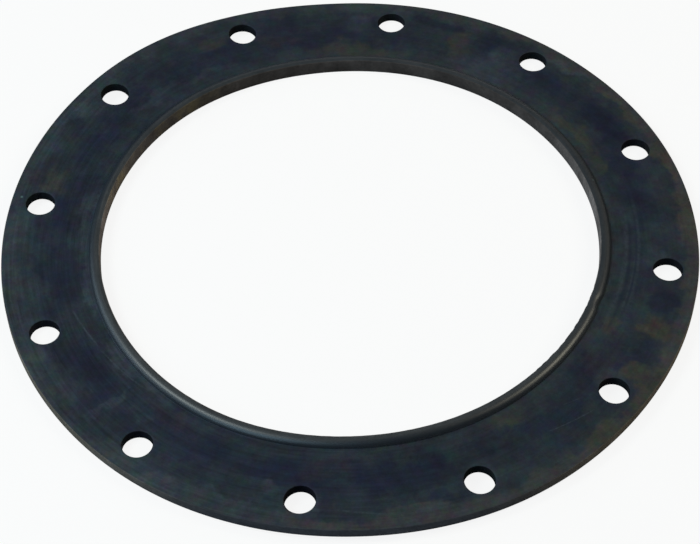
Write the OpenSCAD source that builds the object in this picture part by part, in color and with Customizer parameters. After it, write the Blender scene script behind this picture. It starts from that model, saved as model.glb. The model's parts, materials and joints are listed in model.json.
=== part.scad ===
// Handhole gasket: a flat moulded rubber ring with a raised sealing bead round its hand opening.
// It lies on the XY plane, bead upwards, with its origin at the centre of the underside.

/* [Hand opening] */
// Diameter of the hand opening
bore_d = 219.1; // [120:0.1:400]

/* [Flange] */
// Thickness of the flat flange
flange_t = 4.8; // [2:0.1:10]
// Width from the bore wall to the bolt circle
seal_band_w = 29.65; // [24:0.05:60]
// Width from the bolt circle to the outer edge
edge_band_w = 13.2; // [10:0.1:30]
// Rounding of the flange's top and bottom outer edges
rim_r = 0.4; // [0.1:0.1:0.9]

/* [Sealing bead] */
// Height of the bead's crest above the flange
bead_h = 2.4; // [1.2:0.1:3.5]
// Width of the bead from the bore wall to its foot
bead_w = 5; // [3.5:0.1:6]
// Radius of the bead's rounded crown
crown_r = 3.5; // [2.5:0.1:5]
// Radius of the hollow at the bead's foot
foot_r = 0.3; // [0.1:0.1:0.9]

/* [Bolt holes] */
// Number of bolt holes
bolt_count = 12; // [4:1:20]
// Diameter of each bolt hole
bolt_hole_d = 12.7; // [6:0.1:16]

/* [Hidden] */
bore_r = bore_d / 2;
bolt_circle_r = bore_r + seal_band_w;
outer_r = bolt_circle_r + edge_band_w;
ring_h = flange_t + bead_h;
// The crown's arc runs from its crest down to the flange, so the crest lies this far inside the foot
crown_run = sqrt(crown_r * crown_r - (crown_r - bead_h) * (crown_r - bead_h));
crest_r = bore_r + bead_w - crown_run;
// The hollow's arc meets the crown's arc this high above the flange, and ends this far outside the crest.
// The two arcs overlap a little, so that no step is left between them
foot_h = bead_h * foot_r / (crown_r + foot_r);
foot_rise = crown_r - bead_h + foot_r;
foot_reach = crown_r + foot_r - 0.002;
foot_run = sqrt(foot_reach * foot_reach - foot_rise * foot_rise);
// How far a hole cutter runs past each face of the flange
cut_over = flange_t;
$fn = 180;

// What a rounding takes off a corner at the origin, where the solid lies towards -X and -Y
module corner_waste(r) {
  translate([-r, -r])
    difference() {
      square(2 * r);
      circle(r);
    }
}

// Half section of the flat band, its outer edges rounded
module flange_section() {
  difference() {
    translate([bore_r, 0])
      square([outer_r - bore_r, flange_t]);
    translate([outer_r, flange_t])
      corner_waste(rim_r);
    translate([outer_r, 0])
      mirror([0, 1])
        corner_waste(rim_r);
  }
}

// Half section of the bead: a round crown, cut off straight by the bore wall
module bead_section() {
  intersection() {
    translate([bore_r, 0])
      square([bead_w, ring_h]);
    translate([crest_r, ring_h - crown_r])
      circle(crown_r);
  }
}

// Half section of the hollow that runs the crown into the flange
module foot_section() {
  difference() {
    translate([crest_r, flange_t])
      square([foot_run, foot_h]);
    translate([crest_r + foot_run, flange_t + foot_r])
      circle(foot_r);
  }
}

module ring_blank() {
  rotate_extrude() {
    flange_section();
    bead_section();
    foot_section();
  }
}

module bolt_holes() {
  for (i = [0 : bolt_count - 1])
    rotate(i * 360 / bolt_count)
      translate([bolt_circle_r, 0, -cut_over])
        cylinder(d = bolt_hole_d, h = flange_t + 2 * cut_over);
}

module gasket_ring() {
  color([0.16, 0.18, 0.20])
    difference() {
      ring_blank();
      bolt_holes();
    }
}

gasket_ring();
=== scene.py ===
"""Handhole gasket: a moulded rubber ring with a raised sealing bead, lying on a pale studio floor."""

import json
import math

import bmesh
import bpy
from bpy.props import FloatProperty, FloatVectorProperty, IntProperty, PointerProperty
from mathutils import Matrix, Vector


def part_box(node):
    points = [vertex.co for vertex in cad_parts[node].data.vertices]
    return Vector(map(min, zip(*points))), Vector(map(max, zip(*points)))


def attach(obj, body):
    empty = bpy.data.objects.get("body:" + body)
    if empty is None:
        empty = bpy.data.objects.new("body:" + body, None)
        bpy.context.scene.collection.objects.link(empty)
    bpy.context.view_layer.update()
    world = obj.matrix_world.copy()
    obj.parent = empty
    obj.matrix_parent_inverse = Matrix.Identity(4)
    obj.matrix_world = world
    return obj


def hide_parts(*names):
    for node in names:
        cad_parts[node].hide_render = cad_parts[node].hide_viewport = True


bl_info = {
    "name": "Handhole gasket",
    "version": (1, 0, 0),
    "blender": (4, 5, 0),
    "location": "View3D > Sidebar > Gasket",
    "description": "Models a moulded rubber handhole gasket and the studio it lies in",
    "category": "Object",
}

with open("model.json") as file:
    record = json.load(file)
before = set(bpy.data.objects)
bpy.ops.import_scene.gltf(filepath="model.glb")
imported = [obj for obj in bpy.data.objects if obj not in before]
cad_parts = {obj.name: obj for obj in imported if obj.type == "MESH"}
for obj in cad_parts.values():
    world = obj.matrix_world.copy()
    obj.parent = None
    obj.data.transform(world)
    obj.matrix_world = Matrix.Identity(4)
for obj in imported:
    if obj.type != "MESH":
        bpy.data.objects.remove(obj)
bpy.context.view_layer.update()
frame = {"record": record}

MM = 0.001
NODE = "gasket_ring"
BODY = "root"
MOUNTS = {mount["name"]: mount for mount in frame["record"]["mounts"]}
BOLTS = MOUNTS["bolt_circle"]["dims"]
LOW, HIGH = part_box(NODE)

# Mesh density: columns of faces in one bolt hole's share of the ring, rows in each stretch of the flange, and
# steps in each rounding
CELL_COLUMNS = 48
HOLE_ROWS = 12
EDGE_ROWS = 2
SEAL_ROWS = 10
CROWN_ROWS = 18
FOOT_STEPS = 3
TRIM_STEPS = 2
RIM_STEPS = 3
HOLE_EDGE_STEPS = 3

# Width of the frame of faces that is opened for a bolt hole, and how round the loop halfway to the hole is
HOLE_FRAME = 18.6 * MM
HALFWAY_ROUNDNESS = 0.7

# Points nearer to each other than this are taken as one, and edges sharper than this angle stay sharp
NEAR = 0.02 * MM
SHARP_ANGLE = math.radians(40)

# Size of the clouds in which the trimmed bore wall wanders. Stretches of the wall: their share of the wander,
# and the angles where they start and end, in degrees
TRIM_CLOUD = 2.6 * MM
TRIM_STRETCHES = (
    (0.15, 0, 360),
    (0.85, 322, 352),
)

# Name of the attribute that holds each point's place on the ring as moulded
PLACE = "moulded_place"

# How far a ring that lay on this one was shifted, in millimetres, and turned, and how the prints of its holes
# fade in, in millimetres outside their walls
PRINT_SHIFT = (-6.6, -2.6, 0)
PRINT_TURN = math.radians(3.7)
PRINT_FADE = (1.4, -1.8)

# Sides of the ring, as angles round it in degrees. The right and the back are the photo's own
RIGHT_SIDE = 8.5
BACK_SIDE = RIGHT_SIDE + 90
WIPED_SIDE = 225
PALE_FOOT_SIDE = 29
DULL_BEAD_SIDE = 20
BROWN_WALL_SIDE = 156

# How a side fades in, from none to full, by the angle from its middle in radians
WIPED_SIDE_FADE = (1.9, 0.5)
PALE_FOOT_SIDE_FADE = (1.8, 1.2)

# How a side fades in, from none to full, by the cosine of the angle from its middle
DULL_BEAD_FADE = (0.84, 0.91)
BROWN_WALL_FADE = (0.87, 0.98)
# The back and right fades set where painted shade darkens the bead's lip
LIP_SHADE_BACK_FADE = (0.1, 0.9)
LIP_SHADE_RIGHT_FADE = (0.6, 1.0)
# The rim's fade sets where painted light makes its right and left paler
RIM_SIDE_LIGHT_FADE = (0.3, 0.8)

# How each face of the ring fades in, in millimetres: the bead above the flange, the bore wall and the bead's
# lip and inner side outside the bore, the flange outside the foot of the bead, the rim from the outer edge, and
# the wall of a bolt hole outside it. Where the bead is dull, its inner side reaches further
BEAD_FADE = (0.1, 0.5)
WALL_FADE = (0.5, 0.1)
LIP_FADE = (2.2, 1.2)
INNER_SIDE_FADE = (3.0, 1.6)
DULL_BEAD_REACH = 1.6
FOOT_FADE = (-0.2, 0.5)
RIM_FADE = (-0.35, -0.1)
HOLE_WALL_FADE = (0.25, 0)

# How bands of the flange fade in, by the distance from the axis in millimetres
MIDDLE_START = (119, 128)
MIDDLE_END = (144, 134)
PALE_FOOT_BAND = (124, 116)
PALE_RIM_BAND = (143, 150)

# Noises of the rubber: the size of their clouds in millimetres, how fine and how rough they are, and the
# values between which some of them fade in
GRAIN = {"size": 1.4, "detail": 3, "roughness": 0.6}
MOTTLE = {"size": 15, "detail": 5, "roughness": 0.72}
HUES = {"size": 6, "detail": 4, "roughness": 0.75}
WANDER = {"size": 13, "detail": 3, "roughness": 0.55}
NAVY_CLOUDS = {"size": 34, "detail": 4, "roughness": 0.6, "fade": (0.35, 0.62)}
TEAL_CLOUDS = {"size": 26, "detail": 4, "roughness": 0.6, "fade": (0.46, 0.68)}
WALL_CLOUDS = {"size": 9, "detail": 4, "roughness": 0.65, "fade": (0.38, 0.66)}
PRINT_PATCHES = {"size": 40, "detail": 1, "roughness": 0.5, "fade": (0.35, 0.6)}

# How far the wander shifts clouds and stains, how the bore wall's clouds are stretched, the grain that breaks
# up the scratches, and shifts that keep two of the noises apart from the others
WANDER_REACH = 20
WALL_CLOUD_STRETCH = (1, 1, 0.6)
SCRATCH_BREAKS = (0.35, 0.65)
TEAL_SHIFT = (310, 120, 70)
HUE_SHIFT = (50, 210, 330)

# Wiping marks: noise drawn out round the ring, its reach in a turn, and the width of a mark in millimetres
WIPING = {"size": 1, "detail": 4, "roughness": 0.65}
WIPE_TURNS = 4
WIPE_WIDTH = 1.6

# Lightness of the rubber, and how far each texture swings it or its hue
MEAN_LIGHT = 0.95
MOTTLE_SWING = 1.2
GRAIN_SWING = 0.5
WIPE_SWING = 0.5
WIPED_SIDE_SWING = 0.8
HUE_SWING = (1.5, 1.45, 1.0)
WALL_LIGHT = 0.8
WALL_CLOUD_LIGHT = 0.4

# Painted light on the bore wall: how much paler it is made on the right and the left, and how fast that falls
# off beside them
PAINTED_LIGHT_RIGHT_WALL = 2.1
PAINTED_LIGHT_RIGHT_WALL_FALL = 12
PAINTED_LIGHT_LEFT_WALL = 1.75
PAINTED_LIGHT_LEFT_WALL_FALL = 6

# Shares of the tints that lie over the slate
NAVY_SHARE = 0.3
NAVY_MIDDLE_SHARE = 0.7
TEAL_SHARE = 0.75
PALE_SHARE = 0.55
PALE_FOOT_SHARE = 0.6
PRINT_SHARE = 0.3
# The smooth bead's dark tint is partly painted shade on its flank and in its crease
SMOOTH_BEAD_SHADE_SHARE = 0.75
DULL_BEAD_SHARE = 0.75
WORN_SHARE = 0.85
# How much painted shade takes the lip's pale tint away at the back and on the right
LIP_SHADE_BACK = 0.3
LIP_SHADE_RIGHT = 0.35
# The dark hole wall tint is painted shade inside the bolt holes
HOLE_WALL_SHADE_SHARE = 0.7

# Relief of the rubber: its strength and depth, the share of the scratches and wiping marks in it beside the
# grain, and how far the grain swings the roughness
BUMP_STRENGTH = 0.25
BUMP_DEPTH = 0.1 * MM
SCRATCH_RELIEF = 0.5
WIPE_RELIEF = 0.4
GRAIN_ROUGHNESS = 0.12

# How a stain fades in, by the square of the share of its size that a point lies from its middle
STAIN_FADE = (1, 0.1)

# Stains of the rubber, one list for each tint. Each has its angle round the ring and its distance from the
# axis, half its length along the ring and half its width across it, and its strength, in degrees and
# millimetres
BLOOM_STAINS = (
    (160, 147, 14, 5, 0.3),
    (167, 146, 12, 5, 0.3),
    (237, 130, 6, 5, 0.2),
    (265, 135, 5, 4, 0.4),
    (55, 147, 12, 4, 0.4),
    (289, 147, 14, 5, 0.4),
    (247, 149, 12, 3, 0.4),
    (258, 145, 14, 3, 0.35),
    (199, 142, 18, 6, 0.28),
    (210, 145, 22, 4, 0.28),
    (221, 142, 20, 4, 0.25),
    (144, 124, 20, 3, 0.25),
    (130, 122, 20, 3, 0.25),
    (183, 115, 26, 5, 0.35),
    (204, 115.5, 34, 5, 0.45),
    (226, 115.5, 30, 5, 0.45),
    (66, 121, 32, 9, 0.3),
    (64, 131, 20, 7, 0.2),
    (230.4, 132, 2.4, 12, 0.3),
)
OLIVE_STAINS = (
    (40, 149, 20, 4, 0.6),
    (25, 148, 14, 5, 0.7),
    (12, 149, 16, 6, 0.8),
    (40, 119, 20, 5, 0.55),
    (30, 122, 12, 4, 0.4),
    (75.5, 131, 6, 15, 0.5),
    (98, 119, 26, 6, 0.5),
    (127, 139, 9, 6, 0.4),
    (174, 136, 9, 6, 0.45),
    (310, 119, 14, 6, 0.55),
    (322, 150, 20, 5, 0.75),
    (333, 150, 20, 5, 0.75),
    (336, 141, 7, 8, 0.7),
    (345.5, 141, 8, 9, 0.85),
    (343, 124, 7, 5, 0.55),
)
DRAB_STAINS = (
    (277, 150, 30, 4, 0.5),
    (10, 151, 260, 6, 0.45),
    (300, 151, 110, 5, 0.4),
    (289, 146, 16, 5, 0.6),
)
INK_STAINS = (
    (55, 132, 22, 8, 0.75),
    (39, 134, 24, 9, 0.85),
    (27, 130, 14, 8, 0.75),
    (16, 131, 16, 8, 0.6),
    (81, 142, 16, 5, 0.6),
    (69, 139, 10, 6, 0.6),
    (95, 140, 14, 5, 0.5),
    (112, 141, 20, 5, 0.4),
    (104, 127, 26, 8, 0.35),
    (130, 128, 36, 10, 0.45),
    (158, 128, 36, 10, 0.45),
    (178, 127, 24, 8, 0.4),
    (196, 126, 26, 8, 0.45),
    (222, 128, 22, 9, 0.4),
    (247, 126, 26, 9, 0.6),
    (266, 127, 28, 9, 0.75),
    (287, 129, 28, 10, 0.75),
    (293, 142, 14, 5, 0.5),
    (318, 130, 14, 7, 0.6),
    (331, 121, 12, 6, 0.5),
    (340, 139, 7, 6, 0.5),
    (352, 140, 9, 7, 0.65),
)
PLUM_STAINS = (
    (114, 130, 14, 6, 0.5),
    (173, 144, 10, 5, 0.5),
    (242, 122, 18, 6, 0.5),
    (275, 124, 20, 6, 0.4),
    (333, 127, 8, 9, 0.5),
)

# Fine scratches, dark lines and specks, given as the stains are, with the lean of each scratch and line off
# the ring's own direction
SCRATCHES = (
    (212, 123.2, 14, 0.75, -9, 0.45),
    (225, 119.6, 16, 0.6, -7, 0.4),
    (357.5, 120.3, 38, 1.7, 2, 0.28),
    (354, 124.1, 24, 0.7, 2, 0.18),
    (2, 126.2, 42, 1.2, 1, 0.2),
    (320, 136.2, 13, 0.35, 13, 0.5),
    (323, 129.5, 5, 0.3, 20, 0.35),
    (280, 144.5, 12, 0.7, 8, 0.3),
)
DARK_LINES = (
    (357, 122.3, 44, 1.2, 1, 0.4),
    (0, 125.1, 34, 0.8, 1, 0.35),
)
SPECKS = (
    (179.1, 148.3, 0.8, 0.8, 0.8),
    (24.4, 112.7, 0.5, 0.5, 0.5),
)

# Places where the ring has crept out of its moulded shape: angle round the ring and distance from its axis,
# how far it is pulled outwards and upwards there, and how far off that is felt, in degrees and millimetres
PULLS = (
    (40, 130, 0.93, 0, 123),
    (103, 130, -0.96, 0, 123),
    (163, 130, 0.22, 0, 120),
    (280, 130, -0.2, 0, 121),
    (332, 130, -1.36, 0, 125),
    (26.8, 161, 0, 0.94, 70),
    (70.2, 126, 0, 0.89, 101),
    (127.8, 165, 0, 2.36, 79),
    (150.2, 171, 0, 4.56, 93),
    (178.1, 161, 0, 1.8, 70),
    (276.9, 154, 0, 1.89, 101),
    (308.4, 95, 0, 2.94, 111),
    (342.3, 159, 0, 1.94, 114),
    (279, 105, 0, 0.4, 75),
    (347.7, 112, 0, -0.45, 5.5),
    (347.7, 114.6, -0.7, 0, 6),
)

# Soft boxes: angle round the ring from the camera's right and angle above the floor, in degrees, distance
# and size in metres, power in watts and colour
SOFT_BOXES = (
    ("left_soft_box", 183, 53, 1.3, (0.36, 0.5), 8.6, (0.9, 1.0, 0.97)),
    ("side_soft_box", 158, 32, 1.3, (0.5, 0.4), 1.0, (0.7, 0.9, 1.0)),
    ("low_side_soft_box", 174, 19, 1.3, (0.95, 0.4), 3.2, (0.62, 0.84, 1.0)),
    ("front_soft_box", 225, 41, 1.3, (0.48, 0.85), 5.4, (0.5, 0.8, 1.0)),
    ("right_soft_box", 6, 42, 1.3, (0.24, 0.6), 6.7, (1.0, 0.95, 0.75)),
    ("low_right_soft_box", 33, 25, 1.3, (0.4, 0.35), 1.0, (1.0, 0.93, 0.85)),
    ("back_soft_box", 84, 26, 1.6, (1.4, 0.5), 1.4, (1.0, 1.0, 1.0)),
)


class GasketSizes(bpy.types.PropertyGroup):
    """Sizes of the ring, in metres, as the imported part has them."""

    outer_radius: FloatProperty(
        name="Outer radius", description="From the axis to the flange's outer edge",
        default=HIGH.x, unit="LENGTH")
    bore_radius: FloatProperty(
        name="Bore radius", description="From the axis to the wall of the hand opening",
        default=MOUNTS["hand_opening"]["dims"]["r_mm"] * MM, unit="LENGTH")
    bolt_radius: FloatProperty(
        name="Bolt circle radius", description="From the axis to the centre of each bolt hole",
        default=BOLTS["pcd_mm"] / 2 * MM, unit="LENGTH")
    hole_radius: FloatProperty(
        name="Bolt hole radius", description="Radius of each bolt hole",
        default=BOLTS["hole_r_mm"] * MM, unit="LENGTH")
    hole_count: IntProperty(
        name="Bolt holes", description="Number of bolt holes round the ring",
        default=BOLTS["count"], min=4)
    flange_thickness: FloatProperty(
        name="Flange thickness", description="Thickness of the flat flange",
        default=MOUNTS["cover_face"]["pos_m"][2], unit="LENGTH")
    height: FloatProperty(
        name="Height", description="From the underside to the top of the bead",
        default=HIGH.z, unit="LENGTH")
    bead_width: FloatProperty(
        name="Bead width", description="From the bore wall to the foot of the bead",
        default=5.0 * MM, unit="LENGTH")
    crown_radius: FloatProperty(
        name="Crown radius", description="Radius of the bead's rounded crown",
        default=3.5 * MM, unit="LENGTH")
    foot_radius: FloatProperty(
        name="Foot radius", description="Hollow where the bead meets the flange",
        default=0.3 * MM, unit="LENGTH")
    rim_radius: FloatProperty(
        name="Rim radius", description="Rounding of the flange's outer edges",
        default=0.4 * MM, unit="LENGTH")
    trim_radius: FloatProperty(
        name="Trim radius", description="Rounding of the trimmed edges of the bore",
        default=0.12 * MM, unit="LENGTH")
    hole_edge: FloatProperty(
        name="Hole edge radius", description="Rounding of the bolt holes' edges",
        default=0.45 * MM, unit="LENGTH")
    trim_wander: FloatProperty(
        name="Trim wander", description="How far the trimmed bore wall wanders where it was cut roughest",
        default=0.7 * MM, unit="LENGTH")


def linear(red, green, blue):
    """Linear colour of one that is written in steps of 255."""
    return tuple(((step / 255 + 0.055) / 1.055) ** 2.4 for step in (red, green, blue))


def colour(name, description, shade):
    return FloatVectorProperty(
        name=name, description=description, subtype="COLOR", size=3, min=0, max=1, default=linear(*shade))


class GasketFinish(bpy.types.PropertyGroup):
    """Colours and gloss of the rubber."""

    slate: colour("Slate", "Rubber of the flange", (37, 43, 50))
    navy: colour("Navy", "Blue clouds in the rubber", (30, 34, 48))
    teal: colour("Teal", "Green-blue clouds in the rubber", (37, 46, 53))
    pale: colour("Pale edge", "Rubber beside the rim and the foot of the bead", (52, 57, 61))
    bloom: colour("Bloom", "Pale wax that comes out of the rubber", (58, 65, 73))
    olive: colour("Olive", "Brown-green stains", (56, 54, 47))
    drab: colour("Drab", "Grey-brown stains beside the rim", (60, 55, 55))
    ink: colour("Ink", "Blue-black stains", (22, 27, 45))
    plum: colour("Plum", "Red-brown stains", (44, 40, 49))
    lip: colour("Lip", "Matte inner side of the bead", (60, 61, 63))
    # Darker rubber of the bead, partly painted shade on its flank and in its crease
    shoulder: colour("Shoulder", "Smooth outer side of the bead", (22, 27, 34))
    wall: colour("Bore wall", "Trimmed wall of the hand opening", (65, 60, 59))
    wall_brown: colour("Brown bore wall", "Stains of the bore wall", (70, 63, 51))
    rim: colour("Rim", "Outer edge of the flange", (62, 62, 67))
    # Painted light: this pale tint lights up the rim on its right and its left
    rim_side_light: colour("Rim dust", "Dust on the outer edge of the flange", (92, 85, 78))
    # Painted shade: a near-black tint standing in for the shade inside each bolt hole
    hole_wall: colour("Hole wall", "Wall of each bolt hole", (20, 18, 18))
    speck: colour("Speck", "Pale specks", (75, 97, 97))
    flange_roughness: FloatProperty(
        name="Flange roughness", description="Roughness of the flange", default=0.6, subtype="FACTOR")
    flange_gloss: FloatProperty(
        name="Flange gloss", description="Strength of reflections in the flange",
        default=0.12, subtype="FACTOR")
    shoulder_roughness: FloatProperty(
        name="Shoulder roughness", description="Roughness of the bead's smooth outer side",
        default=0.4, subtype="FACTOR")
    shoulder_gloss: FloatProperty(
        name="Shoulder gloss", description="Strength of reflections in the bead's smooth outer side",
        default=0.5, subtype="FACTOR")
    trim_roughness: FloatProperty(
        name="Trim roughness", description="Roughness of the bead's lip and of every cut face",
        default=0.7, subtype="FACTOR")


class GasketStage(bpy.types.PropertyGroup):
    """Camera, lamps and floor."""

    view_azimuth: FloatProperty(
        name="View azimuth", description="Turn of the camera round the ring",
        default=math.radians(8.547), subtype="ANGLE")
    view_elevation: FloatProperty(
        name="View elevation", description="Height of the camera above the floor, as an angle",
        default=math.radians(50.19), subtype="ANGLE")
    view_roll: FloatProperty(
        name="View roll", description="Turn of the camera about its own line of sight",
        default=math.radians(-0.485), subtype="ANGLE")
    view_distance: FloatProperty(
        name="View distance", description="From the camera to the point that it looks at",
        default=0.8585, unit="LENGTH")
    view_forward: FloatProperty(
        name="View offset", description="How far before the axis the camera looks, towards itself",
        default=16.54 * MM, unit="LENGTH")
    view_right: FloatProperty(
        name="View side offset", description="How far to its right of the axis the camera looks",
        default=-0.225 * MM, unit="LENGTH")
    view_height: FloatProperty(
        name="View height", description="How far above the floor the camera looks",
        default=1.4 * MM, unit="LENGTH")
    focal_length: FloatProperty(
        name="Focal length", description="Lens of the camera, in millimetres, on a 36 mm sensor",
        default=101.48)
    floor_white: FloatProperty(
        name="Floor white", description="How much of the floor's own shading gives way to plain white",
        default=0.88, subtype="FACTOR")
    ambient: FloatProperty(
        name="Ambient light", description="Light from all round the studio", default=0.04)
    ambient_gloss: FloatProperty(
        name="Ambient gloss", description="Light from all round the studio as reflections show it",
        default=0.05)
    floor_paint: FloatVectorProperty(
        name="Floor paint", description="Colour of the floor", subtype="COLOR", size=3, min=0, max=1,
        default=(0.72, 0.72, 0.72))
    floor_roughness: FloatProperty(
        name="Floor roughness", description="Roughness of the floor", default=0.9, subtype="FACTOR")
    floor_size: FloatProperty(
        name="Floor size", description="Side of the pale floor",
        default=8.0, unit="LENGTH")


class Signal:
    """One output of a material's nodes, which takes part in Python arithmetic."""

    def __init__(self, board, socket):
        self.board = board
        self.socket = socket

    def math(self, operation, *terms):
        return self.board.make("ShaderNodeMath", {"operation": operation}, dict(enumerate(terms)))

    def __add__(self, other):
        return self.math("ADD", self, other)

    def __radd__(self, other):
        return self.math("ADD", other, self)

    def __sub__(self, other):
        return self.math("SUBTRACT", self, other)

    def __rsub__(self, other):
        return self.math("SUBTRACT", other, self)

    def __mul__(self, other):
        return self.math("MULTIPLY", self, other)

    def __rmul__(self, other):
        return self.math("MULTIPLY", other, self)

    def __truediv__(self, other):
        return self.math("DIVIDE", self, other)

    def __rtruediv__(self, other):
        return self.math("DIVIDE", other, self)

    def __neg__(self):
        return 0 - self

    def __abs__(self):
        return self.math("ABSOLUTE", self)

    def sqrt(self):
        return self.math("SQRT", self)

    def sine(self):
        return self.math("SINE", self)

    def cosine(self):
        return self.math("COSINE", self)

    def arctan2(self, other):
        return self.math("ARCTAN2", self, other)

    def power(self, exponent):
        return self.math("POWER", self, exponent)

    def maximum(self, other):
        return self.math("MAXIMUM", self, other)

    def wrap(self, low, high):
        return self.math("WRAP", self, high, low)

    def ramp(self, start, end):
        """Rises smoothly from 0 at the start to 1 at the end, whichever of them is larger."""
        return self.board.make(
            "ShaderNodeMapRange", {"interpolation_type": "SMOOTHSTEP"}, {"Value": self, 1: start, 2: end})


class NodeBoard:
    """The nodes of one material or world."""

    def __init__(self, owner):
        owner.use_nodes = True
        self.tree = owner.node_tree
        self.tree.nodes.clear()

    def make(self, kind, settings=None, sockets=None, output=0):
        """Adds a node with its settings and a value or a link for each socket, and gives one output."""
        node = self.tree.nodes.new(kind)
        for name, value in (settings or {}).items():
            setattr(node, name, value)
        for key, value in (sockets or {}).items():
            if isinstance(value, Signal):
                self.tree.links.new(value.socket, node.inputs[key])
            else:
                node.inputs[key].default_value = value
        return Signal(self, node.outputs[output]) if node.outputs else node

    def split(self, vector):
        first = self.make("ShaderNodeSeparateXYZ", sockets={0: vector})
        return [Signal(self, socket) for socket in first.socket.node.outputs]

    def vector(self, operation, *terms):
        return self.make("ShaderNodeVectorMath", {"operation": operation}, dict(enumerate(terms)))

    def scaled(self, vector, factor):
        return self.make("ShaderNodeVectorMath", {"operation": "SCALE"}, {0: vector, "Scale": factor})

    def noise(self, vector, size, detail, roughness, fade=None, output="Fac"):
        """Noise with clouds about as large as the size, in the vector's own unit, faded in if asked for."""
        sockets = {"Vector": vector, "Scale": 1 / size, "Detail": detail, "Roughness": roughness}
        noise = self.make("ShaderNodeTexNoise", sockets=sockets, output=output)
        return noise.ramp(*fade) if fade else noise

    def mix(self, factor, first, second):
        return self.make(
            "ShaderNodeMix", {"data_type": "RGBA"},
            {0: factor, 6: as_colour(first), 7: as_colour(second)}, output=2)


def as_colour(value):
    return value if isinstance(value, Signal) else (*value, 1)


def hypotenuse(x, y):
    return (x * x + y * y).sqrt()


def polar(x, y):
    """Angle round the axis and distance from it."""
    return y.arctan2(x), hypotenuse(x, y)


def off_angle(turn, angle):
    """The shorter way round the ring from an angle, given in degrees, to a point's own."""
    return (turn - math.radians(angle)).wrap(-math.pi, math.pi)


def stain_mask(turn, radius, stains):
    """How much of one tint lies at a point of the ring: that of the strongest stain there."""
    total = 0
    for angle, centre, half_length, half_width, strength in stains:
        along = off_angle(turn, angle) * (centre / half_length)
        across = (radius - centre) / half_width
        stain = (along * along + across * across).ramp(*STAIN_FADE) * strength
        total = stain.maximum(total)
    return total


def scratch_mask(turn, radius, scratches):
    """How much of the strongest scratch lies at a point of the ring."""
    total = 0
    for angle, centre, half_length, half_width, lean, strength in scratches:
        along = off_angle(turn, angle) * centre
        across = radius - centre
        cosine, sine = math.cos(math.radians(lean)), math.sin(math.radians(lean))
        run = abs(along * cosine + across * sine).ramp(half_length, half_length / 2)
        off = abs(across * cosine - along * sine).ramp(half_width, 0)
        total = (run * off * strength).maximum(total)
    return total


def hole_distance(board, place, sizes):
    """How far outside the wall of the nearest bolt hole a point lies, all in millimetres."""
    x, y, _ = board.split(place)
    turn, radius = polar(x, y)
    share = 2 * math.pi / sizes.hole_count
    from_hole = turn.wrap(-share / 2, share / 2)
    along = radius * from_hole.sine()
    across = radius * from_hole.cosine() - sizes.bolt_radius / MM
    return hypotenuse(along, across) - sizes.hole_radius / MM


class RubberSpot:
    """A point of the rubber: its place on the ring as moulded, in millimetres, its face and its texture."""

    def __init__(self, board, sizes):
        noted = board.make("ShaderNodeAttribute", {"attribute_name": PLACE}, output="Vector")
        self.place = board.scaled(noted, 1 / MM)
        x, y, height = board.split(self.place)
        self.turn, self.radius = polar(x, y)
        self.from_bore = self.radius - sizes.bore_radius / MM
        self.bead = (height - sizes.flange_thickness / MM).ramp(*BEAD_FADE)
        self.lip = self.from_bore.ramp(*LIP_FADE) * self.bead
        self.wall = self.from_bore.ramp(*WALL_FADE)
        self.rim = (self.radius - sizes.outer_radius / MM).ramp(*RIM_FADE)
        self.hole_wall = hole_distance(board, self.place, sizes).ramp(*HOLE_WALL_FADE)
        self.dull_bead = self.facing(DULL_BEAD_SIDE).ramp(*DULL_BEAD_FADE)
        self.grain = board.noise(self.place, **GRAIN)
        self.wiped = board.noise(self.along_ring(board), **WIPING)
        self.light = self.lightness(board)

    def facing(self, angle):
        """1 on the side of the ring at an angle in degrees, 0 a quarter turn away from it and -1 opposite."""
        return (self.turn - math.radians(angle)).cosine()

    def along_ring(self, board):
        """Coordinates in which noise is drawn out into lines round the ring."""
        return board.make("ShaderNodeCombineXYZ", sockets={
            0: self.turn.cosine() * WIPE_TURNS,
            1: self.turn.sine() * WIPE_TURNS,
            2: self.radius / WIPE_WIDTH})

    def lightness(self, board):
        """Lightness of the rubber, with its mottling, its wiping marks and its grain."""
        mottle = board.noise(self.place, **MOTTLE)
        wiped_side = abs(off_angle(self.turn, WIPED_SIDE)).ramp(*WIPED_SIDE_FADE)
        return (
            MEAN_LIGHT + (mottle - 0.5) * MOTTLE_SWING + (self.grain - 0.5) * GRAIN_SWING
            + (self.wiped - 0.5) * (WIPE_SWING + wiped_side * WIPED_SIDE_SWING))


def smear(board, place):
    """Places shifted to and fro by noise, which give clouds and stains wandering edges."""
    wander = board.vector("SUBTRACT", board.noise(place, **WANDER, output="Color"), (0.5, 0.5, 0.5))
    return board.vector("ADD", place, board.scaled(wander, WANDER_REACH))


def hole_prints(board, spot, smeared, sizes):
    """Patchy prints of the bolt holes of a ring that lay on this one."""
    laid = board.make(
        "ShaderNodeMapping", {"vector_type": "TEXTURE"},
        {"Vector": spot.place, "Location": PRINT_SHIFT, "Rotation": (0, 0, PRINT_TURN)})
    patches = board.noise(smeared, **PRINT_PATCHES)
    return hole_distance(board, laid, sizes).ramp(*PRINT_FADE) * patches


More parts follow.
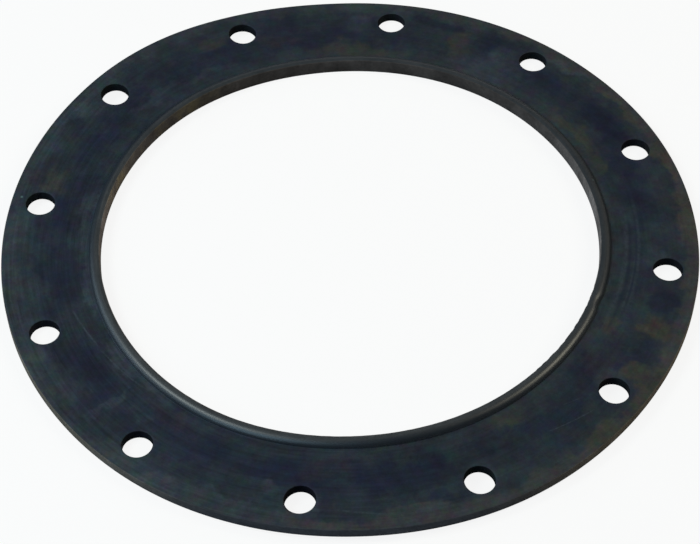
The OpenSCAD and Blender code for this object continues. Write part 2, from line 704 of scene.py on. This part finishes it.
def flange_tint(board, spot, sizes, finish):
    """Slate rubber with its clouds, its pale edges, its stains, its prints and its mottling."""
    smeared = smear(board, spot.place)
    x, y, _ = board.split(smeared)
    turn, radius = polar(x, y)
    middle = radius.ramp(*MIDDLE_START) * radius.ramp(*MIDDLE_END)
    navy = board.noise(smeared, **NAVY_CLOUDS)
    teal = board.noise(board.vector("ADD", smeared, TEAL_SHIFT), **TEAL_CLOUDS)
    tint = board.mix(navy * (NAVY_SHARE + middle * NAVY_MIDDLE_SHARE), finish.slate, finish.navy)
    tint = board.mix(teal * TEAL_SHARE, tint, finish.teal)

    pale_side = abs(off_angle(spot.turn, PALE_FOOT_SIDE)).ramp(*PALE_FOOT_SIDE_FADE)
    outside_foot = (spot.from_bore - sizes.bead_width / MM).ramp(*FOOT_FADE)
    pale_foot = radius.ramp(*PALE_FOOT_BAND) * outside_foot * pale_side
    pale = radius.ramp(*PALE_RIM_BAND).maximum(pale_foot * PALE_FOOT_SHARE)
    tint = board.mix(pale * PALE_SHARE, tint, finish.pale)

    for shade, stains in (
            (finish.ink, INK_STAINS), (finish.plum, PLUM_STAINS), (finish.olive, OLIVE_STAINS),
            (finish.drab, DRAB_STAINS), (finish.bloom, BLOOM_STAINS)):
        tint = board.mix(stain_mask(turn, radius, stains), tint, shade)
    tint = board.mix(hole_prints(board, spot, smeared, sizes) * PRINT_SHARE, tint, finish.bloom)

    hues = board.noise(board.vector("ADD", spot.place, HUE_SHIFT), **HUES, output="Color")
    hues = board.vector("MULTIPLY_ADD", hues, HUE_SWING, tuple(1 - swing / 2 for swing in HUE_SWING))
    return board.scaled(board.vector("MULTIPLY", tint, hues), spot.light)


def bead_tint(board, spot, finish, tint):
    """Adds the bead's smooth outer side, darkened partly as painted shade, and its matte inner side, with
    painted shade that darkens it at the back and on the right.
    """
    inner_side = (spot.from_bore - DULL_BEAD_REACH * spot.dull_bead).ramp(*INNER_SIDE_FADE) * spot.bead
    # Painted shade: less of the lip's pale tint at the back and on the right, so the lip is darker there
    lip_wear_and_shade = (
        WORN_SHARE - LIP_SHADE_BACK * spot.facing(BACK_SIDE).ramp(*LIP_SHADE_BACK_FADE)
        - LIP_SHADE_RIGHT * spot.facing(RIGHT_SIDE).ramp(*LIP_SHADE_RIGHT_FADE))
    # Partly painted shade: the whole bead is darkened with the shoulder tint, for the shade on its flank and in
    # its crease
    tint = board.mix(spot.bead * SMOOTH_BEAD_SHADE_SHARE, tint, finish.shoulder)
    return board.mix(inner_side * lip_wear_and_shade, tint, board.scaled(finish.lip, spot.light))


def wall_tint(board, spot, finish):
    """Cloudy trimmed wall of the hand opening, brown in one place, with painted light that makes it pale on the
    right and the left.
    """
    clouds = board.noise(board.vector("MULTIPLY", spot.place, WALL_CLOUD_STRETCH), **WALL_CLOUDS)
    rightness = spot.facing(RIGHT_SIDE)
    # Painted light: the wall's colour is made paler towards the right and the left
    pale = (
        PAINTED_LIGHT_RIGHT_WALL * rightness.maximum(0).power(PAINTED_LIGHT_RIGHT_WALL_FALL)
        + PAINTED_LIGHT_LEFT_WALL * (-rightness).maximum(0).power(PAINTED_LIGHT_LEFT_WALL_FALL))
    brown = clouds * spot.facing(BROWN_WALL_SIDE).ramp(*BROWN_WALL_FADE)
    light = spot.light * (WALL_LIGHT + WALL_CLOUD_LIGHT * clouds) * (1 + pale)
    return board.scaled(board.mix(brown, finish.wall, finish.wall_brown), light)


def rim_tint(board, spot, finish):
    """Outer edge of the flange, made paler on its right and its left as painted light."""
    lit_sides = abs(spot.facing(RIGHT_SIDE)).ramp(*RIM_SIDE_LIGHT_FADE)
    return board.scaled(board.mix(lit_sides, finish.rim, finish.rim_side_light), spot.light)


def rubber_material(sizes, finish):
    material = bpy.data.materials.new("moulded_rubber")
    board = NodeBoard(material)
    spot = RubberSpot(board, sizes)
    tint = bead_tint(board, spot, finish, flange_tint(board, spot, sizes, finish))
    tint = board.mix(spot.wall, tint, wall_tint(board, spot, finish))
    tint = board.mix(spot.rim, tint, rim_tint(board, spot, finish))
    # Painted shade: the bolt hole walls are darkened towards near black
    tint = board.mix(spot.hole_wall * HOLE_WALL_SHADE_SHARE, tint, finish.hole_wall)
    scratches = scratch_mask(spot.turn, spot.radius, SCRATCHES) * (0.5 + spot.grain.ramp(*SCRATCH_BREAKS))
    tint = board.mix(scratches, tint, finish.bloom)
    tint = board.mix(scratch_mask(spot.turn, spot.radius, DARK_LINES), tint, finish.ink)
    tint = board.mix(stain_mask(spot.turn, spot.radius, SPECKS), tint, finish.speck)

    roughness = (
        finish.flange_roughness + (spot.grain - 0.5) * GRAIN_ROUGHNESS
        + spot.lip.maximum(spot.wall) * (finish.trim_roughness - finish.flange_roughness))
    relief = spot.grain + scratches * SCRATCH_RELIEF + spot.wiped * WIPE_RELIEF
    bump = board.make(
        "ShaderNodeBump", {},
        {"Strength": BUMP_STRENGTH, "Distance": BUMP_DEPTH, "Height": relief}, output="Normal")

    def rubber(rough, gloss, **more):
        return board.make(
            "ShaderNodeBsdfPrincipled", {},
            {"Base Color": tint, "Roughness": rough, "Specular IOR Level": gloss, **more})

    skin = rubber(roughness, finish.flange_gloss, Normal=bump)
    smooth = rubber(finish.shoulder_roughness, finish.shoulder_gloss)
    cut = rubber(finish.trim_roughness, 0, Normal=bump)
    shoulder = spot.bead * (1 - spot.lip) * (1 - DULL_BEAD_SHARE * spot.dull_bead)
    cut_faces = spot.wall.maximum(spot.hole_wall).maximum(spot.rim)
    shader = board.make("ShaderNodeMixShader", {}, {0: shoulder, 1: skin, 2: smooth})
    shader = board.make("ShaderNodeMixShader", {}, {0: cut_faces, 1: shader, 2: cut})
    board.make("ShaderNodeOutputMaterial", {}, {"Surface": shader})
    return material


def deselect_objects():
    if bpy.context.object and bpy.context.object.mode != "OBJECT":
        bpy.ops.object.mode_set(mode="OBJECT")
    bpy.ops.object.select_all(action="DESELECT")


def near(a, b):
    return abs(a - b) < NEAR


def pick(piece, kind, test):
    """Selects the vertices, edges or faces of the mesh under edit that pass a test, and nothing else."""
    bpy.ops.mesh.select_mode(type=kind)
    bpy.ops.mesh.select_all(action="DESELECT")
    mesh = bmesh.from_edit_mesh(piece.data)
    parts = {"VERT": mesh.verts, "EDGE": mesh.edges, "FACE": mesh.faces}[kind]
    found = [part for part in parts if test(part)]
    if not found:
        raise RuntimeError(f"nothing to select among the {kind.lower()} parts of {piece.name}")
    for part in found:
        part.select_set(True)
    mesh.select_flush_mode()
    bmesh.update_edit_mesh(piece.data)


def apply_modifier(piece, kind, **settings):
    bpy.ops.object.modifier_add(type=kind)
    modifier = piece.modifiers[-1]
    for name, value in settings.items():
        setattr(modifier, name, value)
    bpy.ops.object.modifier_apply(modifier=modifier.name)


def on_circle(vertex, radius, height):
    return near(math.hypot(vertex.co.x, vertex.co.y), radius) and near(vertex.co.z, height)


def even_rows(start, end, rows):
    return [start + (end - start) * row / rows for row in range(rows + 1)]


def extrude_rows(piece, places):
    """Adds rows of faces to the straight sheet, from its edge at the first Y to each of the next in turn."""
    pick(piece, "EDGE", lambda edge: all(near(v.co.y, places[0]) for v in edge.verts))
    for before, after in zip(places, places[1:]):
        bpy.ops.mesh.extrude_region_move(TRANSFORM_OT_translate={"value": (0, after - before, 0)})


def crown_circles(sizes):
    """Radius and height of each row of points on the bead's round crown, from its foot to the bore wall."""
    crown = sizes.crown_radius
    middle = sizes.height - crown
    run = math.sqrt(crown ** 2 - (sizes.flange_thickness - middle) ** 2)
    crest = sizes.bore_radius + sizes.bead_width - run
    foot_lean = math.asin(run / crown)
    bore_lean = math.asin((sizes.bore_radius - crest) / crown)
    return [
        (crest + crown * math.sin(lean), middle + crown * math.cos(lean))
        for lean in even_rows(foot_lean, bore_lean, CROWN_ROWS)]


def round_inwards(cell, roundness, radius):
    """Extrudes the selected loop round a bolt hole inwards, nearer to a circle of the given mean radius."""
    bpy.ops.mesh.extrude_region_move()
    bpy.ops.transform.tosphere(value=roundness, center_override=(0, 0, 0))
    loop = [v.co.length for v in bmesh.from_edit_mesh(cell.data).verts if v.select]
    ratio = radius * len(loop) / sum(loop)
    bpy.ops.transform.resize(value=(ratio, ratio, 1), center_override=(0, 0, 0))


def model_cell(sizes):
    """One bolt hole's share of the flange as a flat sheet: X along the bolt circle, Y towards the bore."""
    length = 2 * math.pi * sizes.bolt_radius / sizes.hole_count
    half_frame = HOLE_FRAME / 2
    frame_columns = HOLE_ROWS * length / CELL_COLUMNS / 2
    deselect_objects()
    bpy.ops.mesh.primitive_grid_add(
        x_subdivisions=CELL_COLUMNS, y_subdivisions=HOLE_ROWS, size=1, enter_editmode=True)
    cell = bpy.context.object
    cell.name = NODE + "_rubber"
    bpy.ops.transform.resize(value=(length, HOLE_FRAME, 1), center_override=(0, 0, 0))
    crown = [sizes.bolt_radius - radius for radius, _ in crown_circles(sizes)]
    extrude_rows(cell, even_rows(-half_frame, sizes.bolt_radius - sizes.outer_radius, EDGE_ROWS))
    extrude_rows(cell, even_rows(half_frame, crown[0], SEAL_ROWS) + crown[1:])

    def in_frame(point):
        return abs(point.x) < frame_columns + NEAR and abs(point.y) < half_frame + NEAR

    pick(cell, "FACE", lambda face: all(in_frame(v.co) for v in face.verts))
    bpy.ops.mesh.delete(type="FACE")
    pick(cell, "EDGE", lambda edge: len(edge.link_faces) < 2 and all(in_frame(v.co) for v in edge.verts))
    round_inwards(cell, HALFWAY_ROUNDNESS, (half_frame + sizes.hole_radius) / 2)
    round_inwards(cell, 1.0, sizes.hole_radius)
    bpy.ops.object.mode_set(mode="OBJECT")
    return cell, length


def bend_into_ring(ring, sizes, length):
    """Repeats the straight cell for every bolt hole and bends the strip round the axis, first hole on +X."""
    apply_modifier(
        ring, "ARRAY", count=sizes.hole_count, use_relative_offset=False, use_constant_offset=True,
        constant_offset_displace=(length, 0, 0), use_merge_vertices=True, merge_threshold=NEAR)
    apply_modifier(
        ring, "SIMPLE_DEFORM", deform_method="BEND", deform_axis="Z", angle=2 * math.pi)
    ring.rotation_euler.z = math.pi / 2
    ring.location.x = sizes.bolt_radius
    bpy.ops.object.transform_apply(location=True, rotation=True, scale=True)
    bpy.ops.object.mode_set(mode="EDIT")
    bpy.ops.mesh.select_all(action="SELECT")
    bpy.ops.mesh.remove_doubles(threshold=2 * NEAR)


def bevel_circles(ring, circles, offset, segments):
    """Rounds edges that run round the axis, each given by its radius and height."""
    pick(ring, "EDGE", lambda edge: any(
        all(on_circle(v, radius, height) for v in edge.verts) for radius, height in circles))
    bpy.ops.mesh.bevel(offset=offset, segments=segments, profile=0.5, affect="EDGES")


def thicken(ring, sizes):
    """Gives the flat ring its flange, its bead and the rounding of every edge."""
    top = sizes.flange_thickness
    bpy.ops.mesh.extrude_region_move(TRANSFORM_OT_translate={"value": (0, 0, top)})
    circles = crown_circles(sizes)
    for radius, height in circles[1:]:
        pick(ring, "VERT", lambda vertex: on_circle(vertex, radius, top))
        bpy.ops.transform.translate(value=(0, 0, height - top))
    foot_turn = math.acos(1 - (sizes.height - top) / sizes.crown_radius)
    bevel_circles(ring, circles[:1], sizes.foot_radius * math.tan(foot_turn / 2), FOOT_STEPS)
    bevel_circles(ring, [circles[-1], (sizes.bore_radius, 0)], sizes.trim_radius, TRIM_STEPS)
    bevel_circles(ring, [(sizes.outer_radius, top), (sizes.outer_radius, 0)], sizes.rim_radius, RIM_STEPS)

    def on_hole_edge(edge):
        if not all(near(v.co.z, top) or near(v.co.z, 0) for v in edge.verts):
            return False
        return any(abs(face.normal.z) < 0.5 for face in edge.link_faces) and all(
            abs(math.hypot(v.co.x, v.co.y) - sizes.bolt_radius) < HOLE_FRAME / 2 for v in edge.verts)

    pick(ring, "EDGE", on_hole_edge)
    bpy.ops.mesh.bevel(offset=sizes.hole_edge, segments=HOLE_EDGE_STEPS, profile=0.5, affect="EDGES")
    bpy.ops.mesh.select_all(action="SELECT")
    bpy.ops.mesh.normals_make_consistent(inside=False)
    bpy.ops.object.mode_set(mode="OBJECT")


def roughen_trim(ring, sizes):
    """Lets the trimmed bore wall wander a little, most of all along the stretch that was cut roughest."""
    texture = bpy.data.textures.new("trim", "CLOUDS")
    texture.noise_scale = TRIM_CLOUD
    for share, first, last in TRIM_STRETCHES:
        bpy.ops.object.mode_set(mode="EDIT")
        pick(ring, "VERT", lambda v: (
            math.hypot(v.co.x, v.co.y) < sizes.bore_radius + 2 * sizes.trim_radius
            and v.co.z > sizes.flange_thickness
            and first <= math.degrees(math.atan2(v.co.y, v.co.x)) % 360 <= last))
        bpy.ops.object.vertex_group_add()
        bpy.ops.object.vertex_group_assign()
        bpy.ops.object.mode_set(mode="OBJECT")
        apply_modifier(
            ring, "DISPLACE", texture=texture, texture_coords="LOCAL", mid_level=0.5,
            vertex_group=ring.vertex_groups[-1].name, strength=sizes.trim_wander * share)
        bpy.ops.object.vertex_group_remove()
    bpy.data.textures.remove(texture)


def note_place(ring):
    """Keeps each point's place on the ring as moulded, for the finishes to follow."""
    bpy.ops.geometry.attribute_add(name=PLACE, domain="POINT", data_type="FLOAT_VECTOR")
    places = [value for vertex in ring.data.vertices for value in vertex.co]
    ring.data.attributes[PLACE].data.foreach_set("vector", places)


def creep(ring, sizes):
    """Warps the moulded ring as it lies, with one soft pull for each place in PULLS."""
    start = bpy.data.objects.new("pull_start", None)
    end = bpy.data.objects.new("pull_end", None)
    for empty in (start, end):
        bpy.context.collection.objects.link(empty)
    for angle, radius, outward, lift, reach in PULLS:
        turn = math.radians(angle)
        away = Vector((math.cos(turn), math.sin(turn), 0))
        start.location = away * radius * MM + Vector((0, 0, sizes.height))
        end.location = start.location + (away * outward + Vector((0, 0, lift))) * MM
        bpy.context.view_layer.update()
        apply_modifier(
            ring, "WARP", object_from=start, object_to=end,
            falloff_type="SMOOTH", falloff_radius=reach * MM)
    for empty in (start, end):
        bpy.data.objects.remove(empty)


def seen_directly(board):
    """1 for light that reaches the camera, straight or by a reflection, and 0 for light on other surfaces."""
    seen = board.make("ShaderNodeLightPath", output="Is Camera Ray")
    outputs = seen.socket.node.outputs
    for name in ("Is Glossy Ray", "Is Transmission Ray"):
        seen = seen.maximum(Signal(board, outputs[name]))
    return seen


def floor_material(stage):
    material = bpy.data.materials.new("pale_floor")
    board = NodeBoard(material)
    paint = board.make(
        "ShaderNodeBsdfPrincipled", {},
        {"Base Color": as_colour(stage.floor_paint), "Roughness": stage.floor_roughness})
    white = board.make("ShaderNodeEmission", {}, {"Color": (1, 1, 1, 1), "Strength": 1})
    mixed = board.make(
        "ShaderNodeMixShader", {}, {0: seen_directly(board) * stage.floor_white, 1: paint, 2: white})
    board.make("ShaderNodeOutputMaterial", {}, {"Surface": mixed})
    return material


def studio_world(stage):
    """Dim light from all round, set apart for reflections, with plain white for the camera to see."""
    world = bpy.data.worlds.new("studio")
    board = NodeBoard(world)
    camera = board.make("ShaderNodeLightPath", output="Is Camera Ray")
    gloss = Signal(board, camera.socket.node.outputs["Is Glossy Ray"])
    ambient, sheen, white = (
        board.make("ShaderNodeBackground", {}, {"Color": (1, 1, 1, 1), "Strength": strength})
        for strength in (stage.ambient, stage.ambient_gloss, 1))
    light = board.make("ShaderNodeMixShader", {}, {0: gloss, 1: ambient, 2: sheen})
    light = board.make("ShaderNodeMixShader", {}, {0: camera, 1: light, 2: white})
    board.make("ShaderNodeOutputWorld", {}, {"Surface": light})
    return world


def add_soft_box(name, azimuth, elevation, distance, size, power, shade):
    """A rectangular lamp that faces the ring, placed by its angles round the axis and above the floor."""
    lamp = bpy.data.lights.new(name, "AREA")
    lamp.shape = "RECTANGLE"
    lamp.size, lamp.size_y = size
    lamp.energy = power
    lamp.color = shade
    box = bpy.data.objects.new(name, lamp)
    bpy.context.collection.objects.link(box)
    aim = Matrix.Rotation(azimuth, 4, "Z") @ Matrix.Rotation(math.pi / 2 - elevation, 4, "Y")
    box.matrix_world = aim @ Matrix.Rotation(math.pi / 2, 4, "Z") @ Matrix.Translation((0, 0, distance))


class GASKET_OT_ring(bpy.types.Operator):
    """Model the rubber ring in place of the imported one"""

    bl_idname = "gasket.ring"
    bl_label = "Rubber ring"

    def execute(self, context):
        sizes = context.scene.gasket_sizes
        ring, length = model_cell(sizes)
        bend_into_ring(ring, sizes, length)
        thicken(ring, sizes)
        note_place(ring)
        roughen_trim(ring, sizes)
        creep(ring, sizes)
        bpy.ops.object.shade_smooth_by_angle(angle=SHARP_ANGLE)
        ring.data.materials.append(rubber_material(sizes, context.scene.gasket_finish))
        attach(ring, BODY)
        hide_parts(NODE)
        return {"FINISHED"}


class GASKET_OT_stage(bpy.types.Operator):
    """Set up the floor, the lamps and the camera"""

    bl_idname = "gasket.stage"
    bl_label = "Studio"

    def execute(self, context):
        stage = context.scene.gasket_stage
        deselect_objects()
        bpy.ops.mesh.primitive_plane_add(size=stage.floor_size, location=(0, 0, LOW.z - NEAR))
        floor = context.object
        floor.name = "floor"
        floor.data.materials.append(floor_material(stage))
        context.scene.world = studio_world(stage)
        for name, azimuth, elevation, *lamp in SOFT_BOXES:
            add_soft_box(name, math.radians(azimuth) + stage.view_azimuth, math.radians(elevation), *lamp)
        turn = Matrix.Rotation(stage.view_azimuth, 4, "Z")
        tilt = Matrix.Rotation(math.pi / 2 - stage.view_elevation, 4, "X")
        roll = Matrix.Rotation(stage.view_roll, 4, "Z")
        target = turn @ Vector((stage.view_right, -stage.view_forward, stage.view_height))
        camera = bpy.data.objects.new("camera", bpy.data.cameras.new("camera"))
        context.collection.objects.link(camera)
        camera.data.lens = stage.focal_length
        aim = turn @ tilt @ roll
        back_off = Matrix.Translation((0, 0, stage.view_distance))
        camera.matrix_world = Matrix.Translation(target) @ aim @ back_off
        context.scene.camera = camera
        context.scene.view_settings.view_transform = "Standard"
        return {"FINISHED"}


class GASKET_PT_panel(bpy.types.Panel):
    """Sidebar panel with the gasket's operators"""

    bl_idname = "GASKET_PT_panel"
    bl_label = "Handhole gasket"
    bl_space_type = "VIEW_3D"
    bl_region_type = "UI"
    bl_category = "Gasket"

    def draw(self, context):
        for operator in (GASKET_OT_ring, GASKET_OT_stage):
            self.layout.operator(operator.bl_idname)


CLASSES = (GasketSizes, GasketFinish, GasketStage, GASKET_OT_ring, GASKET_OT_stage, GASKET_PT_panel)


def register():
    for cls in CLASSES:
        bpy.utils.register_class(cls)
    bpy.types.Scene.gasket_sizes = PointerProperty(type=GasketSizes)
    bpy.types.Scene.gasket_finish = PointerProperty(type=GasketFinish)
    bpy.types.Scene.gasket_stage = PointerProperty(type=GasketStage)


def unregister():
    del bpy.types.Scene.gasket_stage
    del bpy.types.Scene.gasket_finish
    del bpy.types.Scene.gasket_sizes
    for cls in reversed(CLASSES):
        bpy.utils.unregister_class(cls)


def main():
    register()
    bpy.ops.gasket.ring()
    bpy.ops.gasket.stage()


if __name__ == "__main__":
    main()
